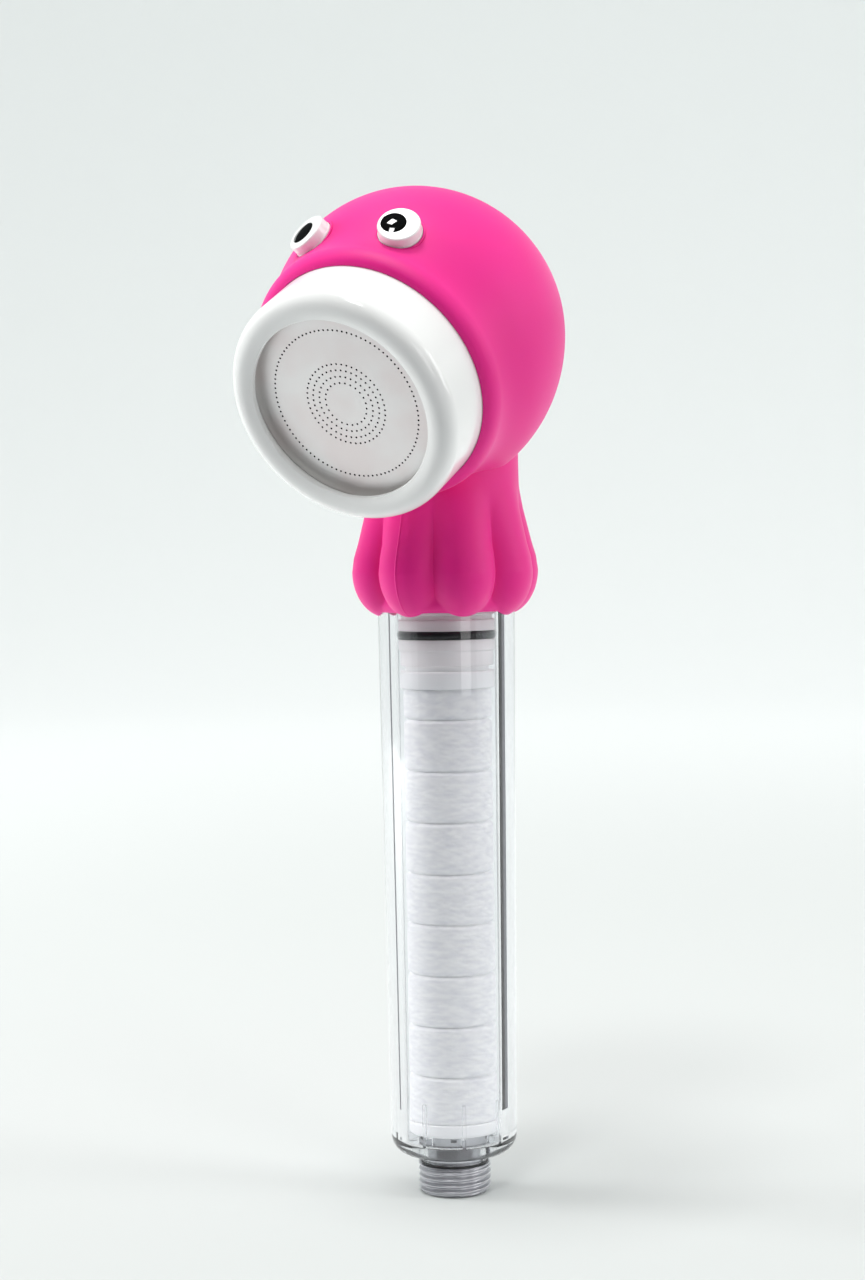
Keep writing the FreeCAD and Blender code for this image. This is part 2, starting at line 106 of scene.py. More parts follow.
def material(name):
    """An empty node material: its tree, and the socket that takes the surface."""
    made = bpy.data.materials.new(name)
    made.use_nodes = True
    made.node_tree.nodes.clear()
    out = made.node_tree.nodes.new("ShaderNodeOutputMaterial")
    return made, made.node_tree, out.inputs["Surface"]


def arc(centre, radius, start, end, steps=12):
    """Points on a circle of an outline, from one angle to another in degrees."""
    angles = np.radians(np.linspace(start, end, steps + 1))
    return [(centre[0] + radius * math.cos(a), centre[1] + radius * math.sin(a)) for a in angles]


def mesh_object(name, points, faces, sharp=32):
    """A smooth-shaded object from points in millimetres, with its sharp corners kept."""
    mesh = bpy.data.meshes.new(name)
    mesh.from_pydata([Vector(p) * MM for p in points], [], faces)
    shape = bmesh.new()
    shape.from_mesh(mesh)
    bmesh.ops.recalc_face_normals(shape, faces=shape.faces)
    shape.to_mesh(mesh)
    shape.free()
    mesh.shade_smooth()
    mesh.set_sharp_from_angle(angle=math.radians(sharp))
    made = bpy.data.objects.new(name, mesh)
    bpy.context.scene.collection.objects.link(made)
    return made


def turned(name, outline, steps=192, place=None, sharp=32):
    """A piece turned about Z from a closed outline of (radius, height) points."""
    points, rings, faces = [], [], []
    for radius, height in outline:
        if radius < 1e-6:
            rings.append([len(points)] * steps)
            points.append((0, 0, height))
            continue
        rings.append(range(len(points), len(points) + steps))
        for i in range(steps):
            angle = math.tau * i / steps
            points.append((radius * math.cos(angle), radius * math.sin(angle), height))
    for low, high in zip(rings, rings[1:] + rings[:1]):
        for i in range(steps):
            j = (i + 1) % steps
            corners = list(dict.fromkeys((low[i], low[j], high[j], high[i])))
            if len(corners) > 2:
                faces.append(corners)
    if place is not None:
        points = [tuple(place @ Vector(p)) for p in points]
    return mesh_object(name, points, faces, sharp)


FLOOR_R = 1700.0
SWEEP_R = 900.0
WALL_TOP = 1350.0
FLOOR_DROP = 0.2
PAPER_T = 20.0


def backdrop_paper():
    """Matt paper, pale grey-white. In front of the object it is painted a darker grey for the light
    that it throws back: painted shade, which keeps the object's front and underside in soft shade.
    The camera sees the pale paper, directly or through the clear tube, made a little darker
    near the object by painted shade."""
    made, tree, surface = material("backdrop_paper")
    place = add(tree, "ShaderNodeTexCoord")
    frontness = add(
        tree,
        "ShaderNodeVectorMath",
        {0: place.outputs["Object"], 1: (math.sin(CAMERA_AZIMUTH), -math.cos(CAMERA_AZIMUTH), 0)},
        operation="DOT_PRODUCT",
    )
    # Painted shade: in front of the object, the paper is darker grey for light that it throws back.
    front_shade_sector = add(
        tree,
        "ShaderNodeMapRange",
        {"Value": frontness.outputs["Value"], "From Min": -0.05, "From Max": 0.25},
        interpolation_type="SMOOTHSTEP",
    )
    path = add(tree, "ShaderNodeLightPath")
    seen = add(
        tree,
        "ShaderNodeMath",
        {0: path.outputs["Is Camera Ray"], 1: path.outputs["Is Transmission Ray"]},
        operation="MAXIMUM",
    )
    unseen = add(tree, "ShaderNodeMath", {0: 1.0, 1: seen.outputs[0]}, operation="SUBTRACT")
    dark = add(
        tree,
        "ShaderNodeMath",
        {0: front_shade_sector.outputs[0], 1: unseen.outputs[0]},
        operation="MULTIPLY",
    )
    tone = add(
        tree,
        "ShaderNodeMix",
        {0: dark.outputs[0], 6: linear("F4F7F6"), 7: linear("A4A6A8")},
        data_type="RGBA",
    )
    # Painted shade: the paper that the camera sees is drawn darker near the object.
    distance = add(
        tree, "ShaderNodeVectorMath", {0: place.outputs["Object"]}, operation="LENGTH"
    )
    outward = add(
        tree,
        "ShaderNodeMapRange",
        {"Value": distance.outputs["Value"], "From Min": 0.4, "From Max": 1.7},
        interpolation_type="SMOOTHSTEP",
    )
    full = add(
        tree,
        "ShaderNodeMath",
        {0: outward.outputs[0], 1: unseen.outputs[0]},
        operation="MAXIMUM",
    )
    shade = add(
        tree,
        "ShaderNodeMix",
        {0: full.outputs[0], 6: linear("DADBDA"), 7: linear("FAFAFA")},
        data_type="RGBA",
    )
    both = add(
        tree,
        "ShaderNodeMix",
        {0: 1.0, 6: tone.outputs[2], 7: shade.outputs[2]},
        data_type="RGBA",
        blend_type="MULTIPLY",
    )
    paper = add(tree, "ShaderNodeBsdfDiffuse", {"Color": both.outputs[2], "Roughness": 0.5})
    tree.links.new(paper.outputs[0], surface)
    return made


sweep = turned(
    "sweep",
    [(0, -FLOOR_DROP)]
    + arc((FLOOR_R, SWEEP_R - FLOOR_DROP), SWEEP_R, -90, 0, 24)
    + [(FLOOR_R + SWEEP_R, WALL_TOP), (FLOOR_R + SWEEP_R + PAPER_T, WALL_TOP)]
    + arc((FLOOR_R, SWEEP_R - FLOOR_DROP), SWEEP_R + PAPER_T, 0, -90, 24)
    + [(0, -FLOOR_DROP - PAPER_T)],
    steps=96,
)
sweep.data.materials.append(backdrop_paper())


def velvet_cloth(name, shade):
    """Velvet on a board: takes up nearly all light, or five sixths of it when grey."""
    made, tree, surface = material(name)
    cloth = add(tree, "ShaderNodeBsdfDiffuse", {"Color": linear(shade), "Roughness": 1.0})
    tree.links.new(cloth.outputs[0], surface)
    return made


black_velvet = velvet_cloth("black_velvet", "0C0D11")
grey_velvet = velvet_cloth("grey_velvet", "707278")
CARD_R = 110.0
# The three cards stand round the tube, and only light that passes through it meets them.
for name, cloth, radius, base, top, start, end in (
    ("front_flag", black_velvet, 1150.0, 30.0, 1000.0, -31, 93),
    ("right_dark_card", black_velvet, CARD_R, 0.5, 200.0, 145, 156),
    ("right_grey_card", grey_velvet, CARD_R, 0.5, 200.0, 156, 166),
    ("left_card", grey_velvet, CARD_R, 0.5, 200.0, 256, 261),
):
    turns = np.radians(np.linspace(start, end, 25))
    edges = [(radius * math.sin(a), -radius * math.cos(a)) for a in turns]
    points = [(x, y, z) for x, y in edges for z in (base, top)]
    faces = [(2 * i, 2 * i + 2, 2 * i + 3, 2 * i + 1) for i in range(len(edges) - 1)]
    flag = mesh_object(name, points, faces)
    flag.data.materials.append(cloth)
    flag.visible_camera = False
    if radius == CARD_R:
        flag.visible_diffuse = False
        flag.visible_glossy = False
        flag.visible_shadow = False


def soft_box(name, spot, target, size, watts):
    """A rectangular studio light, aimed at a point."""
    lamp = bpy.data.lights.new(name, "AREA")
    lamp.shape = "RECTANGLE"
    lamp.size, lamp.size_y = size
    lamp.energy = watts
    made = bpy.data.objects.new(name, lamp)
    made.location = spot
    made.rotation_euler = (Vector(target) - Vector(spot)).to_track_quat("-Z", "Y").to_euler()
    made.visible_transmission = False
    bpy.context.scene.collection.objects.link(made)
    return made


HEAD_SPOT = (0, -0.02, 0.24)
soft_box("back_box", (-0.08, -0.26, 1.3), HEAD_SPOT, (0.22, 0.26), 4.2)
soft_box("front_box", (0.1, -0.68, 1.17), HEAD_SPOT, (0.2, 0.24), 2.6)
left_window = soft_box("left_window", (-1.15, -0.35, 0.45), HEAD_SPOT, (0.5, 0.8), 9.0)
left_window.visible_glossy = False
soft_box("right_window", (1.05, 0.3, 0.5), HEAD_SPOT, (0.4, 0.7), 3.0)
soft_box("tall_strip", (0.87, -0.45, 0.3), (0, 0, 0.15), (0.3, 0.5), 1.0)

world = bpy.data.worlds.new("studio_air")
world.use_nodes = True
air = world.node_tree
air.nodes.clear()
rays = add(air, "ShaderNodeLightPath")
glow = add(
    air,
    "ShaderNodeMix",
    {0: rays.outputs["Is Glossy Ray"], 6: linear("F4F5F5"), 7: linear("3C3E40")},
    data_type="RGBA",
)
sky = add(air, "ShaderNodeBackground", {"Color": glow.outputs[2], "Strength": 1.22})
air.links.new(sky.outputs[0], add(air, "ShaderNodeOutputWorld").inputs["Surface"])
bpy.context.scene.world = world

# ---------------------------------------------------------------- clear handle
# A thick injection-moulded tube of clear polycarbonate, polished, with a rounded foot, a
# boss for the hose nipple, and eight thin fins inside that centre the cartridge.

handle_low, handle_high = (corner * 1000 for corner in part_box("handle_tube"))
HANDLE_R_TOP = handle_high.x
HANDLE_R_LOW = 18.3
BORE_R_TOP = 14.45
BORE_R_LOW = 13.6
FOOT_Z = 11.6
FOOT_R = 5.2
FLOOR_Z = 15.5
BOSS_R = 9.7
BARREL_R = 7.6
FIN_T = 0.9
FIN_TOP_Z = 28.0
FIN_DEPTH = 0.45
FIN_FOOT_DEPTH = 2.8
FIN_FOOT_TOP_Z = 17.9
FINS = 8
FIN_TURN = math.radians(-3.0)


def polished_polycarbonate():
    """Clear polycarbonate, IOR 1.58: bright rims, dark edge lines, a faint cool cast.

    Light from the lamps and the paper passes straight through to the cartridge inside.
    """
    made, tree, surface = material("polished_polycarbonate")
    clear = add(
        tree,
        "ShaderNodeBsdfPrincipled",
        {
            "Base Color": linear("F7F8FA"),
            "Roughness": 0.015,
            "IOR": 1.58,
            "Transmission Weight": 1.0,
        },
    )
    place = add(tree, "ShaderNodeTexCoord")
    flow = add(
        tree, "ShaderNodeMapping", {"Vector": place.outputs["Object"], "Scale": (60, 60, 9)}
    )
    wave = add(tree, "ShaderNodeTexNoise", {"Vector": flow.outputs[0], "Scale": 1.0, "Detail": 1.0})
    swell = add(
        tree,
        "ShaderNodeBump",
        {"Height": wave.outputs["Fac"], "Strength": 0.12, "Distance": 0.4 * MM},
    )
    tree.links.new(swell.outputs[0], clear.inputs["Normal"])
    path = add(tree, "ShaderNodeLightPath")
    passing = add(tree, "ShaderNodeBsdfTransparent", {"Color": linear("FDFDFE")})
    scattered = add(
        tree,
        "ShaderNodeMath",
        {0: path.outputs["Is Shadow Ray"], 1: path.outputs["Is Diffuse Ray"]},
        operation="MAXIMUM",
    )
    both = add(
        tree,
        "ShaderNodeMixShader",
        {0: scattered.outputs[0], 1: clear.outputs[0], 2: passing.outputs[0]},
    )
    tree.links.new(both.outputs[0], surface)
    return made


def dress(piece, finish):
    """Puts a finish on every material slot of a piece or a CAD node."""
    if not piece.material_slots:
        piece.data.materials.append(finish)
    for place in piece.material_slots:
        place.material = finish


def joined(base, others, operation):
    """Joins or cuts solids into the base with a boolean, and removes them."""
    for other in others:
        step = base.modifiers.new("solid", "BOOLEAN")
        step.operation = operation
        step.solver = "MANIFOLD"
        step.object = other
    graph = bpy.context.evaluated_depsgraph_get()
    mesh = bpy.data.meshes.new_from_object(base.evaluated_get(graph))
    base.modifiers.clear()
    base.data = mesh
    for other in others:
        bpy.data.objects.remove(other)
    return base


def block(name, low, high, turn=0.0):
    """A plain bar between two corners, turned about Z: a fin or a cutter."""
    xs, ys, zs = zip(low, high)
    spin = Matrix.Rotation(turn, 4, "Z")
    corners = [tuple(spin @ Vector((x, y, z))) for x in xs for y in ys for z in zs]
    sides = [(0, 1, 3, 2), (4, 6, 7, 5), (0, 4, 5, 1), (2, 3, 7, 6), (0, 2, 6, 4), (1, 5, 7, 3)]
    return mesh_object(name, corners, sides)


foot_centre = (HANDLE_R_LOW - FOOT_R, FOOT_Z + FOOT_R)
handle_steps = 64
handle_side = []
for i in range(1, handle_steps):
    share = i / handle_steps
    z = foot_centre[1] + share * (handle_high.z - foot_centre[1])
    handle_side.append((HANDLE_R_LOW + share * (HANDLE_R_TOP - HANDLE_R_LOW), z))
bore_side = []
for share in (0.001, 0.004, 0.02, 0.1, 0.3, 0.5, 0.7, 0.9, 0.98, 0.996, 0.999):
    z = handle_high.z - 0.3 - share * (handle_high.z - 0.3 - FLOOR_Z - 0.8)
    low_share = (z - FLOOR_Z) / (handle_high.z - FLOOR_Z)
    bore_side.append((BORE_R_LOW + low_share * (BORE_R_TOP - BORE_R_LOW), z))
clear_handle = turned(
    "clear_handle",
    [(BARREL_R, handle_low.z), (BOSS_R - 0.6, handle_low.z)]
    + arc((BOSS_R - 0.6, handle_low.z + 0.6), 0.6, -90, 0, 6)
    + arc((BOSS_R + 0.8, FOOT_Z - 0.8), 0.8, 180, 90, 6)
    + arc(foot_centre, FOOT_R, -90, 0, 24)
    + [(HANDLE_R_LOW, foot_centre[1] + 0.1), (HANDLE_R_LOW, foot_centre[1] + 0.6)]
    + handle_side
    + [(HANDLE_R_TOP - 0.003, handle_high.z - 1.0), (HANDLE_R_TOP, handle_high.z - 0.6)]
    + arc((HANDLE_R_TOP - 0.5, handle_high.z - 0.5), 0.5, 0, 90, 4)
    + arc((BORE_R_TOP + 0.3, handle_high.z - 0.3), 0.3, 90, 180, 4)
    + bore_side
    + arc((BORE_R_LOW - 0.8, FLOOR_Z + 0.8), 0.8, 0, -90, 6)
    + [(BARREL_R, FLOOR_Z)],
    steps=256,
    sharp=40,
)
fins = []
for i in range(FINS):
    turn = FIN_TURN + math.tau * i / FINS
    fins.append(
        block(
            f"fin_{i}",
            (BORE_R_LOW - FIN_DEPTH, -FIN_T / 2, FLOOR_Z - 0.5),
            (BORE_R_LOW + 1.2, FIN_T / 2, FIN_TOP_Z),
            turn,
        )
    )
    fins.append(
        block(
            f"fin_foot_{i}",
            (BORE_R_LOW - FIN_FOOT_DEPTH, -FIN_T / 2, FLOOR_Z - 0.5),
            (BORE_R_LOW - FIN_DEPTH + 0.1, FIN_T / 2, FIN_FOOT_TOP_Z),
            turn,
        )
    )
joined(clear_handle, fins, "UNION")
clear_handle.data.set_sharp_from_angle(angle=math.radians(40))
dress(clear_handle, polished_polycarbonate())
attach(clear_handle, "handle")
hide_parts("handle_tube")

# ---------------------------------------------------------------- hose nipple
# A G1/2 hose nipple, turned from zinc and plated to a satin silver grey. It is pushed up
# through the handle's boss onto a rubber gasket and held by a castle nut on the floor.

nipple_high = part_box("inlet_fitting")[1] * 1000
THREAD_R = nipple_high.x
THREAD_DEPTH = 1.0
THREAD_PITCH = 1.814
THREAD_TOP_Z = 8.4
THREAD_FADE = 1.1
NIPPLE_BORE_R = 6.1


def satin_nickel_plate(name="satin_nickel_plate", grain=0.3, shade="C6C6CA", rough=0.33):
    """Satin nickel on zinc: a soft grey mirror with faint lines round the turned metal."""
    made, tree, surface = material(name)
    place = add(tree, "ShaderNodeTexCoord")
    lines = add(tree, "ShaderNodeMapping", {"Vector": place.outputs["Object"], "Scale": (1, 1, 12)})
    scale = 1 / (grain * 8 * MM)
    grain_noise = add(
        tree,
        "ShaderNodeTexNoise",
        {"Vector": lines.outputs[0], "Scale": scale, "Detail": 3.0},
    )
    spread = add(
        tree,
        "ShaderNodeMapRange",
        {"Value": grain_noise.outputs["Fac"], "To Min": rough - 0.06, "To Max": rough + 0.1},
    )
    relief = add(
        tree,
        "ShaderNodeBump",
        {"Height": grain_noise.outputs["Fac"], "Strength": 0.04, "Distance": 0.05 * MM},
    )
    metal = add(
        tree,
        "ShaderNodeBsdfPrincipled",
        {
            "Base Color": linear(shade),
            "Metallic": 1.0,
            "Roughness": spread.outputs[0],
            "Normal": relief.outputs[0],
        },
    )
    tree.links.new(metal.outputs[0], surface)
    return made


def moulded_rubber():
    """Black nitrile rubber: near black, with a dull sheen broken by the mould's grain."""
    made, tree, surface = material("moulded_rubber")
    place = add(tree, "ShaderNodeTexCoord")
    grain = add(
        tree,
        "ShaderNodeTexNoise",
        {"Vector": place.outputs["Object"], "Scale": 1 / (0.5 * MM), "Detail": 2.0},
    )
    tone = add(
        tree,
        "ShaderNodeMix",
        {0: grain.outputs["Fac"], 6: linear("0D0D0F"), 7: linear("1A1A1C")},
        data_type="RGBA",
    )
    spread = add(
        tree,
        "ShaderNodeMapRange",
        {"Value": grain.outputs["Fac"], "To Min": 0.25, "To Max": 0.42},
    )
    rubber = add(
        tree,
        "ShaderNodeBsdfPrincipled",
        {"Base Color": tone.outputs[2], "Roughness": spread.outputs[0], "IOR": 1.52},
    )
    tree.links.new(rubber.outputs[0], surface)
    return made


def thread_radius(height, angle):
    """The thread's rounded crests and roots climb one pitch a turn, and fade at both ends."""
    phase = math.tau * (height / THREAD_PITCH - angle / math.tau)
    rise = 0.5 + 0.5 * math.tanh(1.6 * math.cos(phase)) / math.tanh(1.6)
    top = min(1.0, max(0.0, (THREAD_TOP_Z - height) / THREAD_FADE))
    depth = THREAD_DEPTH * (1 - rise) * (0.35 + 0.65 * top)
    chamfer = max(0.0, 1.3 - height) * 0.9
    return THREAD_R - max(depth, chamfer)


nipple_steps = 192
nipple_heights = np.linspace(0, THREAD_TOP_Z, 110)
nipple_points = []
for height in nipple_heights:
    for i in range(nipple_steps):
        angle = math.tau * i / nipple_steps
        radius = thread_radius(height, angle)
        nipple_points.append((radius * math.cos(angle), radius * math.sin(angle), height))
for radius, height in (
    (BARREL_R, THREAD_TOP_Z),
    (BARREL_R, nipple_high.z),
    (NIPPLE_BORE_R, nipple_high.z),
    (NIPPLE_BORE_R, 0.4),
    (NIPPLE_BORE_R + 0.4, 0.0),
):
    for i in range(nipple_steps):
        angle = math.tau * i / nipple_steps
        nipple_points.append((radius * math.cos(angle), radius * math.sin(angle), height))
nipple_rows = len(nipple_points) // nipple_steps
nipple_faces = []
for row in range(nipple_rows):
    low, high = row * nipple_steps, (row + 1) % nipple_rows * nipple_steps
    for i in range(nipple_steps):
        j = (i + 1) % nipple_steps
        nipple_faces.append((low + i, low + j, high + j, high + i))
hose_nipple = mesh_object("hose_nipple", nipple_points, nipple_faces, sharp=40)
satin_plate = satin_nickel_plate()
dress(hose_nipple, satin_plate)
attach(hose_nipple, "handle")
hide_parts("inlet_fitting")

black_rubber = moulded_rubber()
dress(frame["nodes"]["inlet_nut"], satin_plate)
dress(frame["nodes"]["inlet_gasket"], black_rubber)
dress(
    frame["nodes"]["inlet_screen"],
    satin_nickel_plate("etched_stainless_screen", grain=0.2, shade="BDBBB8", rough=0.36),
)

# ---------------------------------------------------------------- filter cartridge
# A sleeve of melt-blown polypropylene fibre, wound and pressed in bands on a perforated
# core, between two moulded caps. The top cap's spigot is sealed in the adapter.

media_low, media_high = (corner * 1000 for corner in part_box("filter_media"))
MEDIA_R = media_high.x
MEDIA_BORE_R = 7.0
BAND_PITCH = 14.6
BAND_DEPTH = 1.0
BAND_WIDTH = 0.5
FIRST_BAND = 9.0
CRINKLE = 0.0042
CRINKLE_ROOM = 0.16


def pressed_fibre():
    """Melt-blown fibre: soft white, fluffy, in streaks round the sleeve, with painted shade greying
    the hollows.
    """
    made, tree, surface = material("pressed_fibre")
    place = add(tree, "ShaderNodeTexCoord")
    round_way = add(
        tree, "ShaderNodeMapping", {"Vector": place.outputs["Object"], "Scale": (1, 1, 3.2)}
    )
    streaks = add(
        tree,
        "ShaderNodeTexNoise",
        {"Vector": round_way.outputs[0], "Scale": 1 / (4 * MM), "Detail": 7.0, "Roughness": 0.65},
    )
    fluff = add(
        tree,
        "ShaderNodeTexNoise",
        {"Vector": place.outputs["Object"], "Scale": 1 / (0.6 * MM), "Detail": 3.0},
    )
    # Painted shade: the colour follows the bump's noise and is grey where the surface is low, in
    # the hollows.
    tone = add(tree, "ShaderNodeValToRGB", {"Fac": streaks.outputs["Fac"]})
    tone.color_ramp.elements[0].position = 0.3
    tone.color_ramp.elements[0].color = linear("E6E6EA")
    tone.color_ramp.elements[1].position = 0.62
    tone.color_ramp.elements[1].color = linear("FBFBFA")
    soft = add(
        tree,
        "ShaderNodeBump",
        {"Height": streaks.outputs["Fac"], "Strength": 0.4, "Distance": 0.35 * MM},
    )
    fine = add(
        tree,
        "ShaderNodeBump",
        {
            "Height": fluff.outputs["Fac"],
            "Strength": 0.5,
            "Distance": 0.2 * MM,
            "Normal": soft.outputs[0],
        },
    )
    fibre = add(
        tree,
        "ShaderNodeBsdfPrincipled",
        {
            "Base Color": tone.outputs["Color"],
            "Roughness": 0.92,
            "Specular IOR Level": 0.2,
            "Sheen Weight": 0.25,
            "Sheen Roughness": 0.5,
            "Subsurface Weight": 0.25,
            "Subsurface Radius": (1.0, 1.0, 1.0),
            "Subsurface Scale": 1.2 * MM,
            "Normal": fine.outputs[0],
        },
    )
    tree.links.new(fibre.outputs[0], surface)
    return made


def moulded_polypropylene():
    """Natural white polypropylene: waxy, slightly see-through, a soft low gloss."""
    made, tree, surface = material("moulded_polypropylene")
    place = add(tree, "ShaderNodeTexCoord")
    flow = add(
        tree,
        "ShaderNodeTexNoise",
        {"Vector": place.outputs["Object"], "Scale": 1 / (4 * MM), "Detail": 3.0},
    )
    spread = add(
        tree,
        "ShaderNodeMapRange",
        {"Value": flow.outputs["Fac"], "To Min": 0.3, "To Max": 0.45},
    )
    plastic = add(
        tree,
        "ShaderNodeBsdfPrincipled",
        {
            "Base Color": linear("FAFAFA"),
            "Roughness": spread.outputs[0],
            "IOR": 1.49,
            "Subsurface Weight": 0.3,
            "Subsurface Radius": (1.0, 1.0, 1.0),
            "Subsurface Scale": 1.5 * MM,
        },
    )
    tree.links.new(plastic.outputs[0], surface)
    return made


media_rows, media_steps = 620, 300
rng = np.random.default_rng(7)
wave_count = 90
wave_turns = rng.integers(-30, 31, wave_count)
wave_rises = rng.uniform(0.4, 5.0, wave_count)
wave_phases = rng.uniform(0, math.tau, wave_count)
band_lines = np.arange(media_high.z - FIRST_BAND, media_low.z + 2, -BAND_PITCH)
band_tilts = rng.uniform(-0.25, 0.25, len(band_lines))
heights = np.linspace(media_low.z, media_high.z, media_rows)
angles = np.arange(media_steps) * math.tau / media_steps
rise_grid, turn_grid = np.meshgrid(heights, angles, indexing="ij")
crinkle = np.zeros_like(rise_grid)
for turns, rise, phase in zip(wave_turns, wave_rises, wave_phases):
    crinkle += np.sin(turns * turn_grid + rise * rise_grid + phase)
radii = MEDIA_R - CRINKLE_ROOM + CRINKLE * crinkle
for line, tilt in zip(band_lines, band_tilts):
    away = rise_grid - line - tilt * np.sin(turn_grid + line)
    radii -= BAND_DEPTH * np.exp(-((away / BAND_WIDTH) ** 2))
    radii -= 0.16 * np.exp(-((away / 2.2) ** 2))
ends = np.minimum(rise_grid - media_low.z, media_high.z - rise_grid)
radii -= 0.5 * np.exp(-ends / 0.5)
radii = np.clip(radii, MEDIA_BORE_R + 1, MEDIA_R)
media_points = np.stack(
    (radii * np.cos(turn_grid), radii * np.sin(turn_grid), rise_grid), axis=-1
).reshape(-1, 3)
bore_ring = np.stack(
    (np.cos(angles) * MEDIA_BORE_R, np.sin(angles) * MEDIA_BORE_R), axis=-1
)
media_points = [tuple(p) for p in media_points]
media_points += [(x, y, media_high.z) for x, y in bore_ring]
media_points += [(x, y, media_low.z) for x, y in bore_ring]
media_faces = []
for row in range(media_rows + 2):
    low, high = row * media_steps, (row + 1) % (media_rows + 2) * media_steps
    for i in range(media_steps):
        j = (i + 1) % media_steps
        media_faces.append((low + i, low + j, high + j, high + i))
fibre_sleeve = mesh_object("fibre_sleeve", media_points, media_faces, sharp=70)
dress(fibre_sleeve, pressed_fibre())
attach(fibre_sleeve, "filter")
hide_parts("filter_media")

cap_low, cap_high = (corner * 1000 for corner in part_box("filter_bottom_cap"))
top_cap_low, top_cap_high = (corner * 1000 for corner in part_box("filter_top_cap"))
SPIGOT_R = 7.5
CORE_R = 5.2
SPIGOT_BORE_R = 4.0
CAP_TOP_Z = 151.8
natural_plastic = moulded_polypropylene()
lower_cap = turned(
    "lower_cap",
    [(0, cap_low.z)]
    + arc((cap_high.x - 1.6, cap_low.z + 1.6), 1.6, -90, 0, 8)
    + arc((cap_high.x - 0.3, media_low.z - 0.3), 0.3, 0, 90, 4)
    + [(CORE_R, media_low.z), (CORE_R, cap_high.z), (0, cap_high.z)],
)
upper_cap = turned(
    "upper_cap",
    [(SPIGOT_BORE_R, top_cap_low.z), (CORE_R, top_cap_low.z), (CORE_R, media_high.z)]
    + arc((top_cap_high.x - 0.5, media_high.z + 0.5), 0.5, -90, 0, 5)
    + arc((top_cap_high.x - 0.6, CAP_TOP_Z - 0.6), 0.6, 0, 90, 6)
    + [(SPIGOT_R, CAP_TOP_Z), (SPIGOT_R, top_cap_high.z), (SPIGOT_BORE_R, top_cap_high.z)],
)
for cap, node in ((lower_cap, "filter_bottom_cap"), (upper_cap, "filter_top_cap")):
    dress(cap, natural_plastic)
    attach(cap, "filter")
    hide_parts(node)
dress(frame["nodes"]["filter_core"], natural_plastic)
dress(frame["nodes"]["filter_seal"], natural_plastic)

# ---------------------------------------------------------------- adapter plug
# A translucent polycarbonate plug, moulded with a fine texture. It is screwed into the
# head's neck, and a black O-ring seals it in the handle's bore.

plug_low, plug_high = (corner * 1000 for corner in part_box("handle_adapter"))
ring_low, ring_high = (corner * 1000 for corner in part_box("adapter_oring"))
PLUG_R = plug_high.x
PLUG_STEP_Z = 157.6
PLUG_RELIEF_Z = 166.2
PLUG_BORE_R = 8.0
SOCKET_R = 11.6
NECK_BASE_Z = 176.3


def frosted_polycarbonate():
    """Polycarbonate off a textured mould: lets light through but blurs what is behind."""
    made, tree, surface = material("frosted_polycarbonate")
    place = add(tree, "ShaderNodeTexCoord")
    frost = add(
        tree,
        "ShaderNodeTexNoise",
        {"Vector": place.outputs["Object"], "Scale": 1 / (0.8 * MM), "Detail": 4.0},
    )
    spread = add(
        tree,
        "ShaderNodeMapRange",
        {"Value": frost.outputs["Fac"], "To Min": 0.27, "To Max": 0.3},
    )
    plastic = add(
        tree,
        "ShaderNodeBsdfPrincipled",
        {
            "Base Color": linear("FFFAFA"),
            "Roughness": spread.outputs[0],
            "IOR": 1.58,
            "Transmission Weight": 0.15,
            "Subsurface Weight": 0.4,
            "Subsurface Radius": (1.0, 1.0, 1.0),
            "Subsurface Scale": 4.0 * MM,
        },
    )
    path = add(tree, "ShaderNodeLightPath")
    passing = add(tree, "ShaderNodeBsdfTransparent", {"Color": linear("F2F0F0")})
    both = add(
        tree,
        "ShaderNodeMixShader",
        {0: path.outputs["Is Shadow Ray"], 1: plastic.outputs[0], 2: passing.outputs[0]},
    )
    tree.links.new(both.outputs[0], surface)
    return made


seal_z = (ring_low.z + ring_high.z) / 2
wire_r = (ring_high.z - ring_low.z) / 2
groove_r = ring_high.x - 2 * wire_r
adapter_plug = turned(
    "adapter_plug",
    [(PLUG_BORE_R, plug_low.z)]
    + arc((PLUG_R - 0.9, plug_low.z + 0.4), 0.4, -90, 0, 5)
    + [(PLUG_R - 0.5, PLUG_STEP_Z - 0.3), (PLUG_R, PLUG_STEP_Z + 0.2)]
    + [(PLUG_R, seal_z - wire_r), (groove_r, seal_z - wire_r)]
    + [(groove_r, seal_z + wire_r), (PLUG_R, seal_z + wire_r)]
    + [(PLUG_R, PLUG_RELIEF_Z), (PLUG_R - 0.8, PLUG_RELIEF_Z + 0.4)]
    + [(PLUG_R - 0.8, PLUG_RELIEF_Z + 1.4), (PLUG_R, PLUG_RELIEF_Z + 1.8)]
    + [(PLUG_R, NECK_BASE_Z), (SOCKET_R, NECK_BASE_Z)]
    + [(SOCKET_R, plug_high.z), (PLUG_BORE_R, plug_high.z)],
    steps=256,
)
dress(adapter_plug, frosted_polycarbonate())
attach(adapter_plug, "head")
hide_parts("handle_adapter")

seal_ring = turned(
    "seal_ring",
    arc((ring_high.x - wire_r, seal_z), wire_r, 0, 351, 39),
    steps=256,
    sharp=60,
)
dress(seal_ring, black_rubber)
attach(seal_ring, "head")
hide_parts("adapter_oring")
dress(frame["nodes"]["neck_washer"], black_rubber)

# ---------------------------------------------------------------- inside the head
# White ABS mouldings that carry the water: the neck with its pipe and spray chamber, the
# shell behind the silicone, the spreader disc, and the scent cup with its gel and lid.


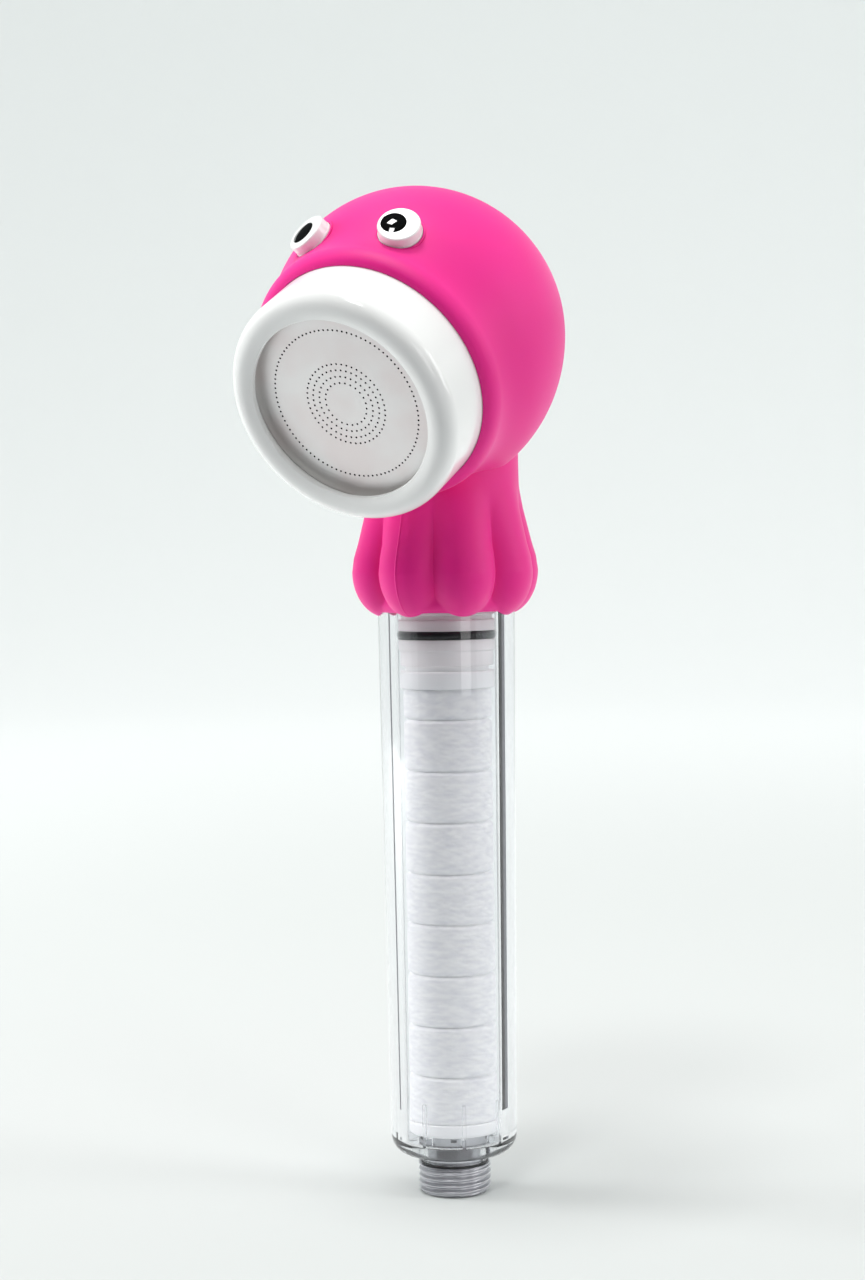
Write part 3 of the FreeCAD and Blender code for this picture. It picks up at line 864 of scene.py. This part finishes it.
def gloss_abs(name="gloss_abs", shade="F4F5F3"):
    """White ABS off a polished mould: a clear gloss, a hint of waviness and fine wear."""
    made, tree, surface = material(name)
    place = add(tree, "ShaderNodeTexCoord")
    wear = add(
        tree,
        "ShaderNodeTexNoise",
        {"Vector": place.outputs["Object"], "Scale": 1 / (9 * MM), "Detail": 5.0},
    )
    spread = add(
        tree,
        "ShaderNodeMapRange",
        {"Value": wear.outputs["Fac"], "To Min": 0.1, "To Max": 0.18},
    )
    peel = add(
        tree,
        "ShaderNodeTexNoise",
        {"Vector": place.outputs["Object"], "Scale": 1 / (3 * MM), "Detail": 1.0},
    )
    ripple = add(
        tree,
        "ShaderNodeBump",
        {"Height": peel.outputs["Fac"], "Strength": 0.06, "Distance": 0.1 * MM},
    )
    plastic = add(
        tree,
        "ShaderNodeBsdfPrincipled",
        {
            "Base Color": linear(shade),
            "Roughness": spread.outputs[0],
            "IOR": 1.54,
            "Subsurface Weight": 0.08,
            "Subsurface Radius": (1.0, 1.0, 1.0),
            "Subsurface Scale": 1.0 * MM,
            "Normal": ripple.outputs[0],
        },
    )
    tree.links.new(plastic.outputs[0], surface)
    return made


def scent_gel():
    """Firm amber gel: clear enough to glow, with a wet skin and a few cloudy streaks."""
    made, tree, surface = material("scent_gel")
    place = add(tree, "ShaderNodeTexCoord")
    cloud = add(
        tree,
        "ShaderNodeTexNoise",
        {"Vector": place.outputs["Object"], "Scale": 1 / (3 * MM), "Detail": 4.0},
    )
    tone = add(
        tree,
        "ShaderNodeMix",
        {0: cloud.outputs["Fac"], 6: linear("E9A23C"), 7: linear("F4C777")},
        data_type="RGBA",
    )
    gel = add(
        tree,
        "ShaderNodeBsdfPrincipled",
        {
            "Base Color": tone.outputs[2],
            "Roughness": 0.15,
            "IOR": 1.38,
            "Transmission Weight": 0.4,
        },
    )
    tree.links.new(gel.outputs[0], surface)
    return made


white_abs = gloss_abs()
for name in ("head_body", "rear_dome", "distributor"):
    dress(frame["nodes"][name], white_abs)
for name in ("aroma_cup", "aroma_lid"):
    dress(frame["nodes"][name], natural_plastic)
dress(frame["nodes"]["aroma_gel"], scent_gel())
for name in ("ring_oring", "plate_gasket"):
    dress(frame["nodes"][name], black_rubber)

# ---------------------------------------------------------------- spray plate
# A stainless disc 0.8 mm thick with five circles of laser-cut holes, bead-blasted to a
# pale satin. It is clamped on its rubber gasket by the face ring.

PLATE_WAY = next(j for j in frame["joints"] if j["name"] == "plate_out")["axis"]


def blasted_stainless():
    """Bead-blasted stainless steel: pale, nearly even, with a sparkle from the grain, and with
    painted shade that makes the walls of the holes and the plate's rim near black."""
    made, tree, surface = material("blasted_stainless")
    place = add(tree, "ShaderNodeTexCoord")
    beads = add(
        tree,
        "ShaderNodeTexNoise",
        {"Vector": place.outputs["Object"], "Scale": 1 / (0.35 * MM), "Detail": 3.0},
    )
    stain = add(
        tree,
        "ShaderNodeTexNoise",
        {"Vector": place.outputs["Object"], "Scale": 1 / (16 * MM), "Detail": 2.0},
    )
    tone = add(tree, "ShaderNodeValToRGB", {"Fac": stain.outputs["Fac"]})
    tone.color_ramp.elements[0].position = 0.35
    tone.color_ramp.elements[0].color = linear("E4DDDC")
    tone.color_ramp.elements[1].position = 0.6
    tone.color_ramp.elements[1].color = linear("E8E6E5")
    relief = add(
        tree,
        "ShaderNodeBump",
        {"Height": beads.outputs["Fac"], "Strength": 0.15, "Distance": 0.04 * MM},
    )
    spread = add(
        tree,
        "ShaderNodeMapRange",
        {"Value": beads.outputs["Fac"], "To Min": 0.36, "To Max": 0.5},
    )
    # Painted shade: faces that are not square to the plate's axis, the hole walls and the rim, are
    # drawn near black.
    facing = add(
        tree,
        "ShaderNodeVectorMath",
        {0: add(tree, "ShaderNodeNewGeometry").outputs["True Normal"], 1: PLATE_WAY},
        operation="DOT_PRODUCT",
    )
    squareness = add(tree, "ShaderNodeMath", {0: facing.outputs["Value"]}, operation="ABSOLUTE")
    flat = add(tree, "ShaderNodeMath", {0: squareness.outputs[0], 1: 0.5}, operation="GREATER_THAN")
    stain_and_hole_shade = add(
        tree,
        "ShaderNodeMix",
        {0: flat.outputs[0], 6: linear("0A0908"), 7: tone.outputs["Color"]},
        data_type="RGBA",
    )
    steel = add(
        tree,
        "ShaderNodeBsdfPrincipled",
        {
            "Base Color": stain_and_hole_shade.outputs[2],
            "Metallic": 1.0,
            "Roughness": spread.outputs[0],
            "Normal": relief.outputs[0],
        },
    )
    tree.links.new(steel.outputs[0], surface)
    return made


dress(frame["nodes"]["spray_plate"], blasted_stainless())

# ---------------------------------------------------------------- face ring
# The white drum in front: one glossy ABS ring that screws onto the spray chamber. Its
# side is a plain cylinder, and its rim rolls over in a wide soft curve to an undercut lip.

ring_joint = next(j for j in frame["joints"] if j["name"] == "ring_turn")
ball_centre = Vector(ring_joint["pos_m"]) * 1000
face_way = Vector(ring_joint["axis"])
head_place = Matrix.Translation(ball_centre) @ face_way.to_track_quat("Z", "Y").to_matrix().to_4x4()

RING_R = 34.2
RING_BORE_R = 31.2
RING_BACK = 24.6
RING_FRONT = 46.7
RING_SEAT = 41.8
RING_OPENING_R = 26.6
RIM_OUTER = (4.4, 4.6)
RIM_INNER_EDGE = 0.5
RIM_DROP = 0.7
LIP_DEPTH = 2.2
UNDERCUT = 1.9


def soft_corner(at, size, start, steps=16):
    """A quarter of an ellipse that rounds a rim between two directions, 90 degrees apart."""
    angles = np.radians(np.linspace(start, start + 90, steps + 1))
    return [(at[0] + size[0] * math.cos(a), at[1] + size[1] * math.sin(a)) for a in angles]


slope_run = RING_R - RIM_OUTER[0] - RING_OPENING_R - RIM_INNER_EDGE
rim_slope = []
for i in range(1, 9):
    share = i / 9
    slope_r = RING_R - RIM_OUTER[0] - share * slope_run
    rim_slope.append((slope_r, RING_FRONT - RIM_DROP * share * share))
face_ring = turned(
    "white_face_ring",
    [(RING_BORE_R, RING_BACK), (RING_R - 0.3, RING_BACK), (RING_R, RING_BACK + 0.3)]
    + soft_corner((RING_R - RIM_OUTER[0], RING_FRONT - RIM_OUTER[1]), RIM_OUTER, 0, 24)
    + rim_slope
    + arc(
        (RING_OPENING_R + RIM_INNER_EDGE, RING_FRONT - RIM_DROP - RIM_INNER_EDGE),
        RIM_INNER_EDGE,
        100,
        180,
        8,
    )
    + [(RING_OPENING_R, RING_FRONT - LIP_DEPTH)]
    + [(RING_OPENING_R + 0.3, RING_FRONT - LIP_DEPTH - 0.3)]
    + [(RING_OPENING_R + UNDERCUT, RING_FRONT - LIP_DEPTH - 0.5)]
    + [(RING_OPENING_R + UNDERCUT, RING_SEAT), (RING_BORE_R, RING_SEAT)],
    steps=256,
    place=head_place,
)
dress(face_ring, white_abs)
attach(face_ring, "screw_ring")
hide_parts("face_ring")

# ---------------------------------------------------------------- octopus cover
# One soft silicone skin about 2 mm thick, pulled over the head: a ball with a rolled lip
# round the drum, and a skirt of eight tentacles with a fine moulding line down the front.

cover_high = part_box("octopus_cover")[1] * 1000
BALL_R = cover_high.x
SKIN_T = 2.2
NECK_R = 17.35
TUBE_ROOM_R = 20.05
DIP_START = 9.0
LIP_R = 37.7
LIP_START = 23.6
LIP_INNER_R = 34.35
BULGE = 2.9


def cover_outline():
    """The ball, then a slight hollow behind the lip, the lip's roll, and the inner skin."""
    start = math.degrees(math.asin(DIP_START / BALL_R))
    points = arc((0, 0), BALL_R, -90, start, 72)
    points[0] = (0, -BALL_R)
    from_r, from_s = points[-1]
    from_slope = -from_s / from_r
    run = LIP_START - from_s
    for i in range(1, 21):
        t = i / 20
        radius = (2 * t**3 - 3 * t**2 + 1) * from_r + (t**3 - 2 * t**2 + t) * run * from_slope
        radius += (3 * t**2 - 2 * t**3) * LIP_R + (t**3 - t**2) * run * 0.06
        points.append((radius, from_s + run * t))
    points += soft_corner((LIP_INNER_R, LIP_START), (LIP_R - LIP_INNER_R, 4.6), 0, 18)[1:]
    inside_r = BALL_R - SKIN_T
    points += [(LIP_INNER_R, LIP_START + 1.0), (LIP_INNER_R + 0.2, LIP_START - 1.6)]
    inner = arc((0, 0), inside_r, start - 2, -90, 48)
    inner[-1] = (0, -inside_r)
    return points + inner


def swell(point):
    """The ball is a little fuller low down at the back, where it settles on the neck."""
    out = Vector(point) - ball_centre
    down = max(0.0, -out.normalized().z)
    near_lip = min(1.0, max(0.0, (out.dot(face_way) - 5) / 15))
    fade = 1 - near_lip * near_lip * (3 - 2 * near_lip)
    return tuple(Vector(point) + out.normalized() * BULGE * down * down * fade)


def smooth_top(a, b, soft):
    """The larger of two values, blended where they meet."""
    return (a + b + np.sqrt((a - b) ** 2 + soft * soft)) / 2


TENTACLES = 8
TIP_Z = 167.0
FULL_Z = 180.0
SKIRT_TOP_Z = 226.0
HEM_Z = 168.6
HEM_R = 21.2
HEM_FADE = 2.5
SKIRT_STEP_Z = 172.6
NECK_REST_Z = 176.1
NECK_MIDDLE_Z = 190.0
STATION_Z = (180.0, 184.0, 188.0, 197.5, 204.0, 211.0, 220.0)
STATION_REACH = (17.3, 16.9, 15.9, 12.0, 8.6, 5.0, 3.0)
STATION_ROUND = (9.9, 9.75, 9.5, 10.9, 12.9, 15.5, 17.4)
SEAM_RISE = 0.2
SEAM_HALF = math.radians(0.5)
SEAM_CLEAR = 3.2
SEAM_COLUMNS = 12
LOBE_COLUMNS = 44


def skirt_radius(lean, height):
    """Distance from the handle's axis at an angle from a tentacle's middle."""
    reach = np.interp(height, STATION_Z, STATION_REACH)
    fat = np.interp(height, STATION_Z, STATION_ROUND)
    if height < FULL_Z:
        fat *= math.sqrt(max(0.0, 1 - ((FULL_Z - height) / (FULL_Z - TIP_Z)) ** 2))
    lobes = []
    for angle in (abs(lean), math.tau / TENTACLES - abs(lean)):
        inside = fat**2 - (reach * math.sin(angle)) ** 2
        lobes.append(reach * math.cos(angle) + math.sqrt(inside) if inside > 0 else 0.0)
    lobe = smooth_top(lobes[0], lobes[1], 0.15) if min(lobes) > 0 else max(lobes)
    hem = HEM_R - 1.2 * max(0.0, (HEM_Z + HEM_FADE - height) / HEM_FADE) ** 2
    if height < HEM_Z:
        hem = 0.0
    return float(smooth_top(lobe, hem, 0.5))


def skirt_bottom(lean):
    """The height where the tentacle's underside meets the handle's room."""
    low, high = TIP_Z - 0.5, FULL_Z
    for _halving in range(24):
        middle = (low + high) / 2
        if skirt_radius(lean, middle) > TUBE_ROOM_R:
            high = middle
        else:
            low = middle
    return high


def skirt_mesh():
    """The tentacle skirt as a closed tube, open inside for the neck and the handle. Its
    upper end is hidden in the ball."""
    leans = []
    half = math.pi / TENTACLES
    for lobe in range(TENTACLES):
        for i in range(LOBE_COLUMNS):
            lean = half * math.sin(math.pi / 2 * (2 * (i + 0.5) / LOBE_COLUMNS - 1))
            if lobe > 0 or abs(lean) > SEAM_CLEAR * SEAM_HALF:
                leans.append((lobe, lean))
        if lobe == 0:
            for i in range(-SEAM_COLUMNS, SEAM_COLUMNS + 1):
                leans.append((0, SEAM_HALF * i / 4))
    leans.sort(key=lambda item: item[0] * 2 * half + item[1])
    upper = list(np.linspace(SKIRT_TOP_Z, FULL_Z, 76))
    columns = []
    for lobe, lean in leans:
        bottom = skirt_bottom(lean)
        sweep_down = np.sin(np.linspace(0, math.pi / 2, 34)[1:])
        zs = upper + [FULL_Z - (FULL_Z - bottom) * s for s in sweep_down]
        rs = [skirt_radius(lean, z) for z in zs]
        rs[-1] = TUBE_ROOM_R
        if lobe == 0:
            seam = SEAM_RISE * math.exp(-((lean / SEAM_HALF) ** 2))
            rs = [r + seam for r in rs]
        section = list(zip(rs, zs))
        section += [(TUBE_ROOM_R, SKIRT_STEP_Z), (TUBE_ROOM_R, NECK_REST_Z)]
        section += [(NECK_R, NECK_REST_Z), (NECK_R, NECK_MIDDLE_Z), (NECK_R, SKIRT_TOP_Z)]
        way = lobe * 2 * half + lean - math.pi / 2
        columns.append([(r * math.cos(way), r * math.sin(way), z) for r, z in section])
    rows = len(columns[0])
    points = [p for column in columns for p in column]
    faces = []
    for c in range(len(columns)):
        d = (c + 1) % len(columns)
        for r in range(rows):
            s = (r + 1) % rows
            faces.append((c * rows + r, c * rows + s, d * rows + s, d * rows + r))
    return mesh_object("skirt", points, faces, sharp=60)


def moulded_silicone():
    """Soft matt silicone in hot pink: a broad dull highlight, light glowing just under
    the skin, and the fine grain of a sand-blasted mould."""
    made, tree, surface = material("moulded_silicone")
    place = add(tree, "ShaderNodeTexCoord")
    grain = add(
        tree,
        "ShaderNodeTexNoise",
        {"Vector": place.outputs["Object"], "Scale": 1 / (0.45 * MM), "Detail": 3.0},
    )
    patch = add(
        tree,
        "ShaderNodeTexNoise",
        {"Vector": place.outputs["Object"], "Scale": 1 / (22 * MM), "Detail": 2.0},
    )
    tone = add(
        tree,
        "ShaderNodeMix",
        {0: patch.outputs["Fac"], 6: linear("F0148C"), 7: linear("F32094")},
        data_type="RGBA",
    )
    spread = add(
        tree,
        "ShaderNodeMapRange",
        {"Value": patch.outputs["Fac"], "To Min": 0.5, "To Max": 0.58},
    )
    relief = add(
        tree,
        "ShaderNodeBump",
        {"Height": grain.outputs["Fac"], "Strength": 0.1, "Distance": 0.05 * MM},
    )
    skin = add(
        tree,
        "ShaderNodeBsdfPrincipled",
        {
            "Base Color": tone.outputs[2],
            "Roughness": spread.outputs[0],
            "IOR": 1.43,
            "Sheen Weight": 0.22,
            "Sheen Roughness": 0.45,
            "Sheen Tint": linear("FFD2EA"),
            "Subsurface Weight": 0.15,
            "Subsurface Radius": (1.0, 0.2, 0.45),
            "Subsurface Scale": 2.0 * MM,
            "Normal": relief.outputs[0],
        },
    )
    tree.links.new(skin.outputs[0], surface)
    return made


silicone_cover = turned("silicone_cover", cover_outline(), steps=256, place=head_place)
for point in silicone_cover.data.vertices:
    point.co = Vector(swell(point.co * 1000)) * MM
neck_cutter = turned(
    "neck_cutter",
    [(0, 192.0), (NECK_R + 0.15, 192.0), (NECK_R + 0.15, ball_centre.z), (0, ball_centre.z)],
)
joined(silicone_cover, [skirt_mesh()], "UNION")
joined(silicone_cover, [neck_cutter], "DIFFERENCE")

# ---------------------------------------------------------------- eyes
# White ABS studs pushed through holes in the silicone and clipped inside the shell. Each
# has a domed black acrylic disc set in its top, off centre so that the eyes glance aside.

EYE_R = 5.9
EYE_HOLE_R = 6.2
EYE_BASE_R = 6.1
EYE_BASE = 39.9
EYE_TOP = 45.2
EYE_EDGE = 0.45
EYE_STEP = 42.2
STEM_R = 3.0
STEM_END = 35.0
PUPIL_R = 3.55
PUPIL_RISE = 0.5
PUPIL_SEAT = 0.6
EYES = (("right", 1.5), ("left", 0.9))
LIP_WIRE = 0.28


def polished_acrylic():
    """Black acrylic, tumbled to a mirror polish: sharp reflections on a deep black."""
    made, tree, surface = material("polished_acrylic")
    place = add(tree, "ShaderNodeTexCoord")
    haze = add(
        tree,
        "ShaderNodeTexNoise",
        {"Vector": place.outputs["Object"], "Scale": 1 / (2 * MM), "Detail": 3.0},
    )
    spread = add(
        tree,
        "ShaderNodeMapRange",
        {"Value": haze.outputs["Fac"], "To Min": 0.02, "To Max": 0.06},
    )
    plastic = add(
        tree,
        "ShaderNodeBsdfPrincipled",
        {
            "Base Color": linear("0A0B0A"),
            "Roughness": spread.outputs[0],
            "IOR": 1.49,
            "Coat Weight": 0.6,
            "Coat Roughness": 0.02,
        },
    )
    tree.links.new(plastic.outputs[0], surface)
    return made


def eye_axis(node):
    """The outward direction of a stud, from the ball's centre to its middle."""
    low, high = (corner * 1000 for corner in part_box(node))
    return ((low + high) / 2 - ball_centre).normalized()


eye_holes, eye_lips = [], []
for side, glance in EYES:
    out = eye_axis(f"{side}_eye")
    upright = out.to_track_quat("Z", "Y").to_matrix().to_4x4()
    aside = Vector((-1, 0, 0)) - out * Vector((-1, 0, 0)).dot(out)
    stud_place = Matrix.Translation(ball_centre) @ upright
    pupil_place = Matrix.Translation(ball_centre + aside.normalized() * glance) @ upright
    eye_holes.append(
        turned(
            f"{side}_hole",
            [(0, EYE_BASE - 3), (EYE_HOLE_R, EYE_BASE - 3)]
            + [(EYE_HOLE_R, EYE_TOP + 4), (0, EYE_TOP + 4)],
            steps=96,
            place=stud_place,
        )
    )
    eye_lips.append(
        turned(
            f"{side}_lip",
            arc((EYE_HOLE_R + LIP_WIRE, BALL_R - 0.12), LIP_WIRE, 0, 340, 17),
            steps=128,
            place=stud_place,
        )
    )
    stud = turned(
        f"{side}_stud",
        [(0, STEM_END), (STEM_R, STEM_END), (STEM_R, EYE_BASE), (EYE_BASE_R, EYE_BASE)]
        + [(EYE_BASE_R, EYE_STEP), (EYE_BASE_R - 0.12, EYE_STEP + 0.15)]
        + arc((EYE_R - EYE_EDGE, EYE_TOP - EYE_EDGE), EYE_EDGE, 0, 90, 10)
        + [(0, EYE_TOP)],
        steps=128,
        place=stud_place,
    )
    seat = turned(
        f"{side}_seat",
        [(0, EYE_TOP - PUPIL_SEAT), (PUPIL_R + 0.02, EYE_TOP - PUPIL_SEAT)]
        + [(PUPIL_R + 0.02, EYE_TOP + 1), (0, EYE_TOP + 1)],
        steps=128,
        place=pupil_place,
    )
    joined(stud, [seat], "DIFFERENCE")
    stud.data.set_sharp_from_angle(angle=math.radians(32))
    dress(stud, white_abs)
    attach(stud, "head")
    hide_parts(f"{side}_eye")

    dome_r = (PUPIL_R**2 + PUPIL_RISE**2) / (2 * PUPIL_RISE)
    dome_z = EYE_TOP + PUPIL_RISE - dome_r
    rim = math.degrees(math.acos(PUPIL_R / dome_r))
    domed = turned(
        f"{side}_domed_disc",
        [(0, EYE_TOP - PUPIL_SEAT), (PUPIL_R, EYE_TOP - PUPIL_SEAT)]
        + arc((0, dome_z), dome_r, rim, 90, 20)[:-1]
        + [(0, dome_z + dome_r)],
        steps=128,
        place=pupil_place,
    )
    if side == "right":
        black_acrylic = polished_acrylic()
    dress(domed, black_acrylic)
    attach(domed, "head")
    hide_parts(f"{side}_pupil")
joined(silicone_cover, eye_lips, "UNION")
joined(silicone_cover, eye_holes, "DIFFERENCE")
silicone_cover.data.shade_smooth()
silicone_cover.data.set_sharp_from_angle(angle=math.radians(42))
dress(silicone_cover, moulded_silicone())
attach(silicone_cover, "head")
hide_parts("octopus_cover")
dress(frame["nodes"]["eye_retainers"], natural_plastic)
